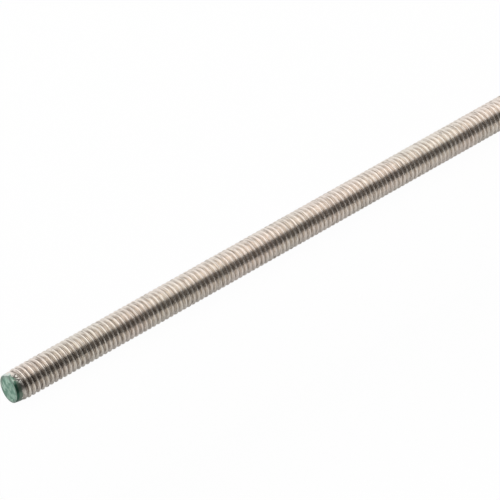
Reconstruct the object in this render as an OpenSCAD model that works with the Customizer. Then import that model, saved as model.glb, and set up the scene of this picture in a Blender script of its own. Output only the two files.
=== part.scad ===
// Fully threaded rod, one rolled steel bar with a right-hand thread from end to end.
// Its axis lies along +X. The origin is the middle of the marked end face.

/* [Rod] */
// Length of the rod from end face to end face
rod_length = 120; // [20:1:130]

/* [Thread] */
// Diameter over the thread crests
crest_d = 5.88; // [4.5:0.02:8]
// Distance along the rod from one crest to the next
pitch = 1; // [0.7:0.05:1.5]
// Angle between the two flanks of a groove
flank_angle = 60; // [55:1:70]
// Width of the flat land along each crest
crest_flat = 0.125; // [0.05:0.005:0.25]
// Turn of the thread about the axis, which sets where the groove comes out at the end
thread_turn = 157.5; // [0:22.5:337.5]
// Flat sides that stand for one turn of the thread
thread_sides = 16; // [12:4:20]

/* [Ends] */
// How far the taper at each end falls below the crests
lead_drop = 0.38; // [0.2:0.02:0.6]
// Length of the taper at each end
lead_length = 2.4; // [1.5:0.1:4]
// Length at each end with no groove
plain_length = 1; // [0.6:0.1:1.6]
// Length over which the groove rises out of the bar beside that plain stretch
runout_length = 0.8; // [0.4:0.1:1.5]
// Broken edge round each end face
edge_break = 0.12; // [0.05:0.01:0.2]

/* [Hidden] */
$fn = 96;

crest_r = crest_d / 2;
groove_depth = (pitch - crest_flat) / 2 / tan(flank_angle / 2);
root_r = crest_r - groove_depth;
face_r = crest_r - lead_drop;

// The end tapers are carried on until they stand clear of the crests
clear_of_crest = 0.2;
clear_r = crest_r + clear_of_crest;
taper_end = edge_break + lead_length * (clear_r - face_r) / lead_drop;

// One pitch of the thread, read along the axis: the crest land, then the bottom of the groove
thread_section = [
  [0, crest_r],
  [crest_flat, crest_r],
  [(pitch + crest_flat) / 2, root_r]
];
section_points = len(thread_section);

// The thread starts one pitch before the first face and goes on past the last one
turns = ceil(rod_length / pitch) + 2;
thread_start = -1.05 * pitch;
row_count = section_points * turns + 1;

// Radius that the surface keeps near an end, where the groove rises out of the bar
function runout_radius(x) =
  let (from_end = min(x, rod_length - x))
  let (share = (plain_length + runout_length - from_end) / runout_length)
  root_r + (clear_r - root_r) * min(1, max(0, share));

// A point of the thread's surface. Each side's row of points is the same zigzag,
// moved along the bar by its share of one pitch.
function thread_point(side, row) =
  let (corner = thread_section[row % section_points])
  let (x = thread_start + corner[0] + pitch * (floor(row / section_points) + side / thread_sides))
  let (r = max(corner[1], runout_radius(x)))
  let (angle = thread_turn + 360 * side / thread_sides)
  [x, -r * sin(angle), r * cos(angle)];

// The right-hand thread as one closed helical surface
module thread_form() {
  last_side = thread_sides - 1;
  last_row = row_count - 1;
  start_hub = thread_sides * row_count;
  end_hub = start_hub + 1;
  points = [
    for (side = [0 : last_side]) for (row = [0 : last_row]) thread_point(side, row),
    [thread_start - pitch, 0, 0],
    [thread_start + pitch * (turns + 2), 0, 0]
  ];
  function index(side, row) = side * row_count + row;
  // Between two neighbouring sides
  flanks = [
    for (side = [0 : last_side - 1]) for (row = [0 : last_row - 1]) each [
      [index(side, row), index(side, row + 1), index(side + 1, row + 1)],
      [index(side, row), index(side + 1, row + 1), index(side + 1, row)]
    ]
  ];
  // The last side meets the first one a whole pitch further on
  seam = [
    for (row = [0 : last_row - 1 - section_points]) each [
      [index(last_side, row), index(last_side, row + 1), row + section_points + 1],
      [index(last_side, row), row + section_points + 1, row + section_points]
    ]
  ];
  start_cap = [
    for (side = [0 : last_side - 1]) [start_hub, index(side, 0), index(side + 1, 0)],
    [start_hub, index(last_side, 0), section_points],
    for (row = [0 : section_points - 1]) [start_hub, row + 1, row]
  ];
  end_cap = [
    for (side = [0 : last_side - 1]) [end_hub, index(side + 1, last_row), index(side, last_row)],
    [end_hub, last_row, index(last_side, last_row - section_points)],
    for (row = [last_row - section_points : last_row - 1])
      [end_hub, index(last_side, row), index(last_side, row + 1)]
  ];
  polyhedron(points = points, faces = concat(flanks, seam, start_cap, end_cap), convexity = 10);
}

// The bar's outline turned about its axis: flat faces, broken edges and tapered ends
module bar_outline() {
  rotate([0, 90, 0])
    rotate_extrude()
      polygon([
        [0, 0],
        [face_r - edge_break, 0],
        [face_r, edge_break],
        [clear_r, taper_end],
        [clear_r, rod_length - taper_end],
        [face_r, rod_length - edge_break],
        [face_r - edge_break, rod_length],
        [0, rod_length]
      ]);
}

module threaded_rod() {
  color("#b3aba2")
    intersection() {
      thread_form();
      bar_outline();
    }
}

threaded_rod();
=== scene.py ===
import math

import bpy
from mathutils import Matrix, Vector


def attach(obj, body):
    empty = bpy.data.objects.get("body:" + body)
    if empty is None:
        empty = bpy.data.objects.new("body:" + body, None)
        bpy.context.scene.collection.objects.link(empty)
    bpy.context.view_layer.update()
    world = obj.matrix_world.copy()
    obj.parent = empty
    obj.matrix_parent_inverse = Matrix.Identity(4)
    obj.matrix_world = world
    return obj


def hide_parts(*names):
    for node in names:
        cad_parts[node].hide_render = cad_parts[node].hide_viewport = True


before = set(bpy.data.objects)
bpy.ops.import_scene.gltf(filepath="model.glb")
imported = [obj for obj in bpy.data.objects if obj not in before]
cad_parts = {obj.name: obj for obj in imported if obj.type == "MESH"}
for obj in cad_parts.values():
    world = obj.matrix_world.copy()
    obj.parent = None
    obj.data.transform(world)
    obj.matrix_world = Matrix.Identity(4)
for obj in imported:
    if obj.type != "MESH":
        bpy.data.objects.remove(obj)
scene = bpy.context.scene
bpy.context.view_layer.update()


# ---------------------------------------------------------------------------
# Camera. A long lens looks down along the rod from beside its marked end, as
# one looks at a length of studding laid on a table.
# ---------------------------------------------------------------------------
camera_data = bpy.data.cameras.new("camera")
camera_data.lens = 292.06
camera_data.sensor_width = 36
camera_data.clip_start = 0.05
camera_data.clip_end = 20
camera = bpy.data.objects.new("camera", camera_data)
camera.location = (-0.288621, -0.415233, 0.500589)
camera.rotation_euler = (math.radians(47.1655), 0, math.radians(-39.5991))
scene.collection.objects.link(camera)
scene.camera = camera


# ---------------------------------------------------------------------------
# Threaded rod. One bar of stainless steel, its thread rolled in between two
# dies, cropped to length and pointed with a short taper at both ends. The
# near end face is dabbed with green marking paint.
# ---------------------------------------------------------------------------
MM = 0.001
rod_length = 120 * MM
crest_radius = 2.94 * MM
pitch = 1.0 * MM
half_land = 0.0625          # of a pitch
flank_slope = math.tan(math.radians(60))
root_rounding = 0.144       # of a pitch
root_depth = 0.6134         # of a pitch
thread_turn = math.radians(157.5)
thread_start = -0.9875 * MM
thread_sides = 64

lead_drop = 0.38 * MM
lead_length = 2.4 * MM
plain_length = 1.0 * MM
runout_length = 0.8 * MM
edge_break = 0.12 * MM
face_radius = crest_radius - lead_drop
flat_radius = face_radius - edge_break
crop_lean = math.tan(math.radians(5))       # how far off square the near face is
crop_way = (0.35, 0.93)                     # the side that it leans back on, across the bar
crop_short = 0.10 * MM                      # how far inside its nominal place the face lies
crop_roll = 0.20 * MM                       # how far the edge of that side is rolled back
crop_roll_from = 0.9 * MM
crop_roll_to = 2.50 * MM
crop_bulge = 0.22 * MM                      # how far the side of bulge_way stands out
crop_bulge_length = 1.7 * MM
bulge_way = (0.77, 0.64)


def flank_depth(offset):
    """Depth below the crest, both in pitches, on the straight flank."""
    return (offset - half_land) * flank_slope


def root_arc_depth(offset):
    """Depth below the crest on the rounded bottom of the groove."""
    centre = root_depth - root_rounding
    return centre + math.sqrt(root_rounding**2 - (0.5 - offset) ** 2)


# One pitch of the section, from the middle of one land to the next: how far
# along the bar each corner lies, and how deep, both in pitches.
falling = [
    (0.045, 0.0),
    (0.075, 0.022),
    (0.10, flank_depth(0.10)),
    (0.355, flank_depth(0.355)),
    (0.41, root_arc_depth(0.41)),
]
thread_corners = (
    [(-0.045, 0.0)]
    + falling
    + [(0.5, root_depth)]
    + [(1 - offset, depth) for offset, depth in reversed(falling[1:])]
)
corner_count = len(thread_corners)
turn_count = math.ceil(rod_length / pitch) + 2

# The end face and its broken edge, from the middle outwards: how far in from
# the face each ring lies, and its radius.
end_rings = [
    (0, 0),
    (0, 0.25 * flat_radius),
    (0, 0.5 * flat_radius),
    (0, 0.72 * flat_radius),
    (0, 0.9 * flat_radius),
    (0, 0.97 * flat_radius),
    (0, flat_radius),
    (0.3 * edge_break, face_radius - 0.3 * edge_break),
    (edge_break, face_radius),
    (2 * edge_break, face_radius + edge_break * lead_drop / lead_length),
]
ring_count = len(end_rings)


class Tree:
    """Wires a node tree. feed() fills a socket, node() returns the node that it adds, and the
    other calls return the output of what they add."""

    def __init__(self, tree):
        self.tree = tree

    def feed(self, socket, value):
        if isinstance(value, bpy.types.NodeSocket):
            self.tree.links.new(value, socket)
        elif value is not None:
            socket.default_value = value

    def node(self, kind, inputs=(), **settings):
        made = self.tree.nodes.new(kind)
        for name, value in settings.items():
            setattr(made, name, value)
        for name, value in dict(inputs).items():
            self.feed(made.inputs[name], value)
        return made

    def math(self, operation, *values, clamp=False):
        made = self.tree.nodes.new("ShaderNodeMath")
        made.operation = operation
        made.use_clamp = clamp
        for socket, value in zip(made.inputs, values):
            self.feed(socket, value)
        return made.outputs[0]

    def ramp(self, value, low, high):
        """A straight ramp between two (value, level) points, held beyond them."""
        made = self.node(
            "ShaderNodeMapRange",
            {"Value": value, "From Min": low[0], "From Max": high[0], "To Min": low[1], "To Max": high[1]},
        )
        return made.outputs[0]

    def noise(self, vector, scale, detail, roughness=0.5, distortion=0.0):
        made = self.node("ShaderNodeTexNoise", {"Vector": vector, "Scale": scale, "Detail": detail})
        self.feed(made.inputs["Roughness"], roughness)
        self.feed(made.inputs["Distortion"], distortion)
        return made.outputs[0]

    def towards(self, y, z, way):
        """How far a point lies from the bar's axis in one direction across it."""
        return self.math("ADD", self.math("MULTIPLY", y, way[0]), self.math("MULTIPLY", z, way[1]))

    def mix(self, factor, first, second):
        """From one colour to another."""
        made = self.tree.nodes.new("ShaderNodeMix")
        made.data_type = "RGBA"
        for socket, value in zip((made.inputs[0], made.inputs[6], made.inputs[7]), (factor, first, second)):
            self.feed(socket, (*value, 1) if isinstance(value, tuple) else value)
        return made.outputs[2]

    def pick(self, index, values):
        """One of several fixed numbers, by index."""
        made = self.tree.nodes.new("GeometryNodeIndexSwitch")
        made.data_type = "FLOAT"
        while len(made.index_switch_items) < len(values):
            made.index_switch_items.new()
        self.feed(made.inputs[0], index)
        for socket, value in zip(made.inputs[1:], values):
            socket.default_value = value
        return made.outputs[0]

    def choose(self, flag, otherwise, value):
        """The last number where the flag is set, and the one before it elsewhere."""
        made = self.tree.nodes.new("GeometryNodeSwitch")
        made.input_type = "FLOAT"
        self.feed(made.inputs[0], flag)
        self.feed(made.inputs[1], otherwise)
        self.feed(made.inputs[2], value)
        return made.outputs[0]


def cropped_back(wire, y, z, lean, short, roll):
    """How far behind its nominal place the near face lies, at a point across the bar."""
    towards = wire.towards(y, z, crop_way)
    rolled = wire.ramp(towards, (crop_roll_from, 0.0), (crop_roll_to, 1.0))
    leaning = wire.math("MULTIPLY_ADD", towards, lean, short)
    return wire.math("MULTIPLY_ADD", wire.math("MULTIPLY", rolled, rolled), roll, leaning)


def rolled_thread_tree():
    """Turns a grid into the rod. Its columns stand round the bar and its rows run along it,
    and each column is moved on by its share of a pitch."""
    tree = bpy.data.node_groups.new("rolled_thread", "GeometryNodeTree")
    tree.interface.new_socket("Geometry", in_out="OUTPUT", socket_type="NodeSocketGeometry")
    for name, kind, value in (
        ("Rod Length", "NodeSocketFloat", rod_length),
        ("Crest Radius", "NodeSocketFloat", crest_radius),
        ("Pitch", "NodeSocketFloat", pitch),
        ("Thread Start", "NodeSocketFloat", thread_start),
        ("Thread Turn", "NodeSocketFloat", thread_turn),
        ("Sides", "NodeSocketInt", thread_sides),
        ("Turns", "NodeSocketInt", turn_count),
        ("Plain Length", "NodeSocketFloat", plain_length),
        ("Runout Length", "NodeSocketFloat", runout_length),
        ("Lead Drop", "NodeSocketFloat", lead_drop),
        ("Lead Length", "NodeSocketFloat", lead_length),
        ("Edge Break", "NodeSocketFloat", edge_break),
        ("Crop Lean", "NodeSocketFloat", crop_lean),
        ("Crop Short", "NodeSocketFloat", crop_short),
        ("Crop Roll", "NodeSocketFloat", crop_roll),
        ("Crop Bulge", "NodeSocketFloat", crop_bulge),
    ):
        socket = tree.interface.new_socket(name, in_out="INPUT", socket_type=kind)
        socket.default_value = value
    tree.interface.new_socket("Material", in_out="INPUT", socket_type="NodeSocketMaterial")
    wire = Tree(tree)
    given = tree.nodes.new("NodeGroupInput").outputs
    length, crest, step = given["Rod Length"], given["Crest Radius"], given["Pitch"]
    sides, turns = given["Sides"], given["Turns"]

    thread_rows = wire.math("MULTIPLY_ADD", turns, corner_count, 1)
    rows = wire.math("ADD", thread_rows, 2 * ring_count)
    grid = wire.node(
        "GeometryNodeMeshGrid",
        {"Vertices X": wire.math("ADD", sides, 1), "Vertices Y": rows},
    )
    index = tree.nodes.new("GeometryNodeInputIndex").outputs[0]
    column = wire.math("FLOOR", wire.math("DIVIDE", wire.math("ADD", index, 0.5), rows))
    row = wire.math("SUBTRACT", index, wire.math("MULTIPLY", column, rows))
    share = wire.math("DIVIDE", column, sides)

    # The free thread
    thread_row = wire.math("SUBTRACT", row, ring_count)
    turn = wire.math("FLOOR", wire.math("DIVIDE", wire.math("ADD", thread_row, 0.5), corner_count))
    corner = wire.math("ROUND", wire.math("SUBTRACT", thread_row, wire.math("MULTIPLY", turn, corner_count)))
    along = wire.pick(corner, [offset for offset, depth in thread_corners])
    depth = wire.pick(corner, [depth for offset, depth in thread_corners])
    pitches = wire.math("ADD", wire.math("ADD", turn, along), share)
    free_x = wire.math("MULTIPLY_ADD", pitches, step, given["Thread Start"])
    free_radius = wire.math("SUBTRACT", crest, wire.math("MULTIPLY", depth, step))

    # Beside the plain ends the groove rises out of the bar
    last_x = wire.math("SUBTRACT", length, given["Plain Length"])
    x = wire.math("MINIMUM", wire.math("MAXIMUM", free_x, given["Plain Length"]), last_x)
    from_end = wire.math("MINIMUM", x, wire.math("SUBTRACT", length, x))
    groove_end = wire.math("ADD", given["Plain Length"], given["Runout Length"])
    fill = wire.math("DIVIDE", wire.math("SUBTRACT", groove_end, from_end), given["Runout Length"])
    fill = wire.math("MAXIMUM", fill, 0)
    root = wire.math("SUBTRACT", crest, wire.math("MULTIPLY", step, root_depth))
    full = wire.math("MULTIPLY_ADD", wire.math("SUBTRACT", crest, root), fill, root)
    radius = wire.math("MAXIMUM", free_radius, full)

    # The end tapers cut the crests down
    taper = wire.math("DIVIDE", given["Lead Drop"], given["Lead Length"])
    inward = wire.math("SUBTRACT", from_end, given["Edge Break"])
    lead = wire.math("MULTIPLY_ADD", inward, taper, wire.math("SUBTRACT", crest, given["Lead Drop"]))
    radius = wire.math("MINIMUM", radius, lead)

    # Both end faces, ring by ring
    rows_left = wire.math("SUBTRACT", wire.math("SUBTRACT", rows, 1), row)
    ring = wire.math("ROUND", wire.math("MINIMUM", row, rows_left))
    ring_depth = wire.pick(ring, [depth for depth, size in end_rings])
    ring_radius = wire.pick(ring, [size for depth, size in end_rings])
    far_side = wire.math("LESS_THAN", rows_left, row)
    ring_x = wire.choose(far_side, ring_depth, wire.math("SUBTRACT", length, ring_depth))
    on_ring = wire.math("LESS_THAN", ring, ring_count - 0.5)
    x = wire.choose(on_ring, x, ring_x)
    radius = wire.choose(on_ring, radius, ring_radius)

    angle = wire.math("MULTIPLY_ADD", share, math.tau, given["Thread Turn"])
    y = wire.math("MULTIPLY", wire.math("MULTIPLY", radius, -1), wire.math("SINE", angle))
    z = wire.math("MULTIPLY", radius, wire.math("COSINE", angle))

    # The near face is out of round, leans back and has one edge rolled over
    bulging = wire.math("SUBTRACT", 1.0, wire.math("DIVIDE", x, crop_bulge_length), clamp=True)
    outward = wire.math("DIVIDE", wire.towards(y, z, bulge_way), face_radius)
    outward = wire.math("MULTIPLY_ADD", outward, 0.5, 0.5)
    pressed = wire.math("MULTIPLY", wire.math("MULTIPLY", outward, bulging), given["Crop Bulge"])
    y = wire.math("MULTIPLY_ADD", pressed, bulge_way[0], y)
    z = wire.math("MULTIPLY_ADD", pressed, bulge_way[1], z)
    near = wire.math("SUBTRACT", 1.0, wire.math("DIVIDE", x, given["Plain Length"]), clamp=True)
    back = cropped_back(wire, y, z, given["Crop Lean"], given["Crop Short"], given["Crop Roll"])
    x = wire.math("MULTIPLY_ADD", back, near, x)
    place = wire.node("ShaderNodeCombineXYZ", {"X": x, "Y": y, "Z": z}).outputs[0]
    moved = wire.node("GeometryNodeSetPosition", {"Geometry": grid.outputs[0], "Position": place})
    joined = wire.node("GeometryNodeMergeByDistance", {"Geometry": moved.outputs[0], "Distance": 1e-6})
    smooth = wire.node("GeometryNodeSetShadeSmooth", {"Geometry": joined.outputs[0], "Shade Smooth": True})
    real = wire.node("GeometryNodeRealizeInstances", {"Geometry": smooth.outputs[0]})
    coated = wire.node(
        "GeometryNodeSetMaterial",
        {"Geometry": real.outputs[0], "Material": given["Material"]},
    )
    tree.links.new(coated.outputs[0], tree.nodes.new("NodeGroupOutput").inputs[0])
    return tree


line_ring = 1.9             # size of the circle that one pitch makes in the lines' noise
line_round = 500            # noise to the metre, round the bar
line_along = 1300           # noise to the metre, along the bar
highlight_way = (0.58, 0.81)     # the side on which the paint's rim is coloured pale as a painted highlight, across the bar


def rolled_stainless():
    """Bright rolled steel with fine lines along the thread, painted brown shade in the grooves, and
    green paint on the near end."""
    material = bpy.data.materials.new("rolled_stainless")
    material.use_nodes = True
    tree = material.node_tree
    tree.nodes.clear()
    wire = Tree(tree)
    place = tree.nodes.new("ShaderNodeTexCoord").outputs["Object"]
    x, y, z = wire.node("ShaderNodeSeparateXYZ", {"Vector": place}).outputs
    radius = wire.math("SQRT", wire.math("ADD", wire.math("MULTIPLY", y, y), wire.math("MULTIPLY", z, z)))

    # Where a point lies across the thread, as an angle that comes round once a pitch
    round_bar = wire.math("ARCTAN2", y, z)
    across = wire.math("MULTIPLY_ADD", x, math.tau / pitch, round_bar)
    ring_x = wire.math("MULTIPLY", wire.math("COSINE", across), line_ring)
    ring_y = wire.math("MULTIPLY", wire.math("SINE", across), line_ring)
    helix = wire.node(
        "ShaderNodeCombineXYZ",
        {
            "X": wire.math("MULTIPLY_ADD", y, line_round, ring_x),
            "Y": wire.math("MULTIPLY_ADD", z, line_round, ring_y),
            "Z": wire.math("MULTIPLY", x, line_along),
        },
    ).outputs[0]
    lines = wire.noise(helix, 1.0, 3.0, 0.6)
    blotches = wire.noise(place, 900.0, 3.0, 0.6)
    tints = wire.noise(place, 90.0, 2.0)

    # How far up the groove's side a point lies: 0 at the bottom, 1 on the crest
    up = wire.ramp(radius, (2.30 * MM, 0.0), (2.80 * MM, 1.0))
    bright = wire.math("ADD", up, wire.math("MULTIPLY", wire.math("SUBTRACT", lines, 0.5), 2.4))
    blotched = wire.math("MULTIPLY", wire.math("SUBTRACT", blotches, 0.5), 0.5)
    bright = wire.math("ADD", bright, blotched, clamp=True)
    tinted = wire.ramp(tints, (0.4, 0.0), (0.6, 1.0))
    crest_tint = wire.mix(tinted, (0.87, 0.785, 0.72), (0.84, 0.785, 0.71))
    # Painted shade: the grooves are coloured dark brown towards their bottoms, a little lighter farther
    # along the bar and darker still over the first turns from the near end.
    farther = wire.ramp(x, (14 * MM, 0.0), (50 * MM, 1.0))
    groove_shade = wire.mix(farther, (0.42, 0.365, 0.32), (0.555, 0.485, 0.425))
    groove_shade = wire.mix(wire.ramp(x, (3 * MM, 0.8), (16 * MM, 0.0)), groove_shade, (0.22, 0.185, 0.16))
    metal = wire.mix(bright, groove_shade, crest_tint)
    metal = wire.mix(wire.ramp(lines, (0.38, 0.6), (0.44, 0.0)), metal, (0.25, 0.21, 0.18))
    metal_roughness = wire.math("MULTIPLY_ADD", bright, -0.10, 0.29)

    # The plain bar behind the face is scuffed and dull
    scuffs = wire.noise(place, 2000.0, 2.5, 0.7)
    scuffed = wire.ramp(x, (1.7 * MM, 1.0), (2.4 * MM, 0.0))
    dull = wire.mix(wire.ramp(scuffs, (0.50, 0.0), (0.58, 1.0)), (0.035, 0.03, 0.028), (0.70, 0.68, 0.63))
    across_bar = wire.towards(y, z, bulge_way)
    scuffed_side = wire.math("MULTIPLY", scuffed, wire.ramp(across_bar, (1.7 * MM, 1.0), (2.1 * MM, 0.0)))
    scuffed_side = wire.math("MULTIPLY", scuffed_side, wire.ramp(across_bar, (-1.2 * MM, 0.3), (0.0, 0.85)))
    metal = wire.mix(scuffed_side, metal, dull)
    metal_roughness = wire.math("MULTIPLY_ADD", scuffed, 0.16, metal_roughness)

    # Green marking paint, thick and matt on the face, thinner and shinier where it ran over the
    # edge, and coloured pale on the upper side of the rim as a painted highlight
    from_face = wire.math("SUBTRACT", x, cropped_back(wire, y, z, crop_lean, crop_short, crop_roll))
    smear = wire.noise(place, 1500.0, 3.0, 0.65)
    run = wire.ramp(across_bar, (-0.2 * MM, 1.25 * MM), (1.0 * MM, 0.50 * MM))
    upper = wire.ramp(across_bar, (0.2 * MM, 0.0), (1.0 * MM, 1.0))
    ragged = wire.math("MULTIPLY_ADD", upper, -1.0 * MM, -1.3 * MM)
    edge = wire.math("MULTIPLY_ADD", wire.math("SUBTRACT", smear, 0.5), ragged, run)
    painted = wire.ramp(wire.math("SUBTRACT", edge, from_face), (0, 0.0), (0.16 * MM, 1.0))
    brushed = wire.node(
        "ShaderNodeCombineXYZ",
        {
            "X": x,
            "Y": wire.math("MULTIPLY", across_bar, 0.55),
            "Z": wire.towards(y, z, (-bulge_way[1], bulge_way[0])),
        },
    ).outputs[0]
    dabs = wire.noise(brushed, 1300.0, 4.0, 0.6, 0.6)
    dabbed = wire.ramp(dabs, (0.44, 0.0), (0.60, 1.0))
    face_green = wire.mix(dabbed, (0.11, 0.27, 0.19), (0.42, 0.62, 0.51))
    rim = wire.ramp(radius, (1.9 * MM, 0.0), (2.45 * MM, 1.0))
    face_green = wire.mix(wire.math("MULTIPLY", rim, 0.6), face_green, (0.22, 0.25, 0.225))
    side = wire.ramp(radius, (2.44 * MM, 0.0), (2.50 * MM, 1.0))
    behind = wire.ramp(from_face, (0.35 * MM, 0.0), (0.6 * MM, 1.0))
    side_green = wire.mix(behind, (0.03, 0.10, 0.065), (0.15, 0.20, 0.16))
    over_edge = wire.math("MULTIPLY", upper, wire.ramp(from_face, (0.25 * MM, 1.0), (0.40 * MM, 0.0)))
    side_green = wire.mix(over_edge, side_green, face_green)
    green = wire.mix(side, face_green, side_green)
    # Painted highlight: the rim's green turns nearly white on the side that faces up towards the light.
    pale_side = wire.towards(y, z, highlight_way)
    rim_highlight_reach = wire.math("MULTIPLY_ADD", wire.math("SUBTRACT", smear, 0.5), 0.3 * MM, pale_side)
    green = wire.mix(wire.ramp(rim_highlight_reach, (2.44 * MM, 0.0), (2.54 * MM, 0.85)), green, (0.75, 0.82, 0.78))

    colour = wire.mix(painted, metal, green)
    paint_roughness = wire.math("MULTIPLY_ADD", side, -0.14, 0.44)
    change = wire.math("SUBTRACT", paint_roughness, metal_roughness)
    roughness = wire.math("MULTIPLY_ADD", painted, change, metal_roughness)
    thick = wire.math("MULTIPLY", painted, wire.math("MULTIPLY_ADD", side, -0.75, 1.0))
    grain = wire.math("MULTIPLY", lines, wire.math("MULTIPLY_ADD", painted, -0.05 * MM, 0.05 * MM))
    grain = wire.math("MULTIPLY_ADD", wire.math("MULTIPLY", scuffs, scuffed), 0.03 * MM, grain)
    height = wire.math("MULTIPLY_ADD", dabs, wire.math("MULTIPLY", painted, 0.07 * MM), grain)
    bump = wire.node("ShaderNodeBump", {"Height": height, "Strength": 1.0, "Distance": 1.0})
    shader = wire.node(
        "ShaderNodeBsdfPrincipled",
        {
            "Base Color": colour,
            "Metallic": wire.math("SUBTRACT", 1.0, thick),
            "Roughness": roughness,
            "Normal": bump.outputs[0],
        },
    )
    wire.node("ShaderNodeOutputMaterial", {"Surface": shader.outputs[0]})
    return material


steel = rolled_stainless()
blank = bpy.data.objects.new("blank", bpy.data.meshes.new("blank"))
scene.collection.objects.link(blank)
rolling = blank.modifiers.new("rolling", "NODES")
rolling.node_group = rolled_thread_tree()
for item in rolling.node_group.interface.items_tree:
    if item.in_out == "INPUT" and item.socket_type == "NodeSocketMaterial":
        rolling[item.identifier] = steel
shape = bpy.data.meshes.new_from_object(blank.evaluated_get(bpy.context.evaluated_depsgraph_get()))
bpy.data.objects.remove(blank)
rod = bpy.data.objects.new("rolled_rod", shape)
scene.collection.objects.link(rod)
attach(rod, "root")
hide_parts("threaded_rod")


# ---------------------------------------------------------------------------
# Table. A plain white sheet under the rod. The camera sees it as white, and so
# do metal and glass in part, where the rod's own shadow on it still shows.
# ---------------------------------------------------------------------------
table_size = 3.0
paper_grey = 0.95
white_to_camera = 0.975     # share of plain white in what the camera sees of the sheet
white_in_metal = 0.3        # the same for metal and glass, which see the rest as it is lit


def metal_rays(wire, ray):
    """One for the rays that metal and glass send out, from Light Path's outputs."""
    return wire.math("MAXIMUM", ray["Is Glossy Ray"], ray["Is Transmission Ray"])


table_mesh = bpy.data.meshes.new("table")
table_mesh.from_pydata(
    [(sx * table_size, sy * table_size, -crest_radius) for sx, sy in ((-1, -1), (1, -1), (1, 1), (-1, 1))],
    [],
    [(0, 1, 2, 3)],
)
table = bpy.data.objects.new("table", table_mesh)
scene.collection.objects.link(table)
paper = bpy.data.materials.new("white_paper")
paper.use_nodes = True
paper.node_tree.nodes.clear()
wire = Tree(paper.node_tree)
ray = wire.node("ShaderNodeLightPath").outputs
sheet = wire.node("ShaderNodeBsdfDiffuse", {"Color": (paper_grey, paper_grey, paper_grey, 1)})
glow = wire.node("ShaderNodeEmission", {"Color": (1, 1, 1, 1), "Strength": 1.0})
white_share = wire.math(
    "MAXIMUM",
    wire.math("MULTIPLY", ray["Is Camera Ray"], white_to_camera),
    wire.math("MULTIPLY", metal_rays(wire, ray), white_in_metal),
)
blend = wire.node("ShaderNodeMixShader", {0: white_share, 1: sheet.outputs[0], 2: glow.outputs[0]})
wire.node("ShaderNodeOutputMaterial", {"Surface": blend.outputs[0]})
table_mesh.materials.append(paper)


# ---------------------------------------------------------------------------
# Card. A dark card stands on the table along the rod, on the side one looks in
# from, so that the bright metal has something dark to mirror. The camera looks
# through it.
# ---------------------------------------------------------------------------
card_length = 3.0
card_away = 30 * MM
card_top = 55 * MM
board_grey = 0.18
card_mesh = bpy.data.meshes.new("dark_card")
card_mesh.from_pydata(
    [
        (end * card_length / 2, -card_away, height)
        for end, height in ((-1, -crest_radius), (1, -crest_radius), (1, card_top), (-1, card_top))
    ],
    [],
    [(0, 1, 2, 3)],
)
card = bpy.data.objects.new("dark_card", card_mesh)
card.visible_camera = False
scene.collection.objects.link(card)
board = bpy.data.materials.new("dark_board")
board.use_nodes = True
matt = board.node_tree.nodes["Principled BSDF"].inputs
matt["Base Color"].default_value = (board_grey, board_grey, board_grey, 1)
matt["Roughness"].default_value = 0.9
card_mesh.materials.append(board)


# ---------------------------------------------------------------------------
# Light. One soft box overhead in a plain white room, at a level where a colour
# comes out about as it is written. Camera, metal and glass see the room white.
# ---------------------------------------------------------------------------
box_away = 1.0
room_grey = 0.75            # how bright the room is as a light on the rod
box_data = bpy.data.lights.new("soft_box", "AREA")
box_data.shape = "DISK"
box_data.size = 1.2
box_data.energy = 3.0
box_data.color = (1.0, 0.97, 0.92)
box = bpy.data.objects.new("soft_box", box_data)
box_way = Vector((-0.26, 0.17, 0.95)).normalized()
box.location = box_way * box_away
box.rotation_euler = box_way.to_track_quat("Z", "Y").to_euler()
scene.collection.objects.link(box)

world = bpy.data.worlds.new("white_room")
scene.world = world
world.use_nodes = True
sky = world.node_tree
sky.nodes.clear()
wire = Tree(sky)
ray = wire.node("ShaderNodeLightPath").outputs
room = wire.node("ShaderNodeBackground", {"Color": (room_grey, room_grey, room_grey, 1), "Strength": 1.0})
plain = wire.node("ShaderNodeBackground", {"Color": (1, 1, 1, 1), "Strength": 1.0})
seen = wire.math("MAXIMUM", ray["Is Camera Ray"], metal_rays(wire, ray))
blend = wire.node("ShaderNodeMixShader", {0: seen, 1: room.outputs[0], 2: plain.outputs[0]})
wire.node("ShaderNodeOutputWorld", {"Surface": blend.outputs[0]})

scene.view_settings.view_transform = "Standard"
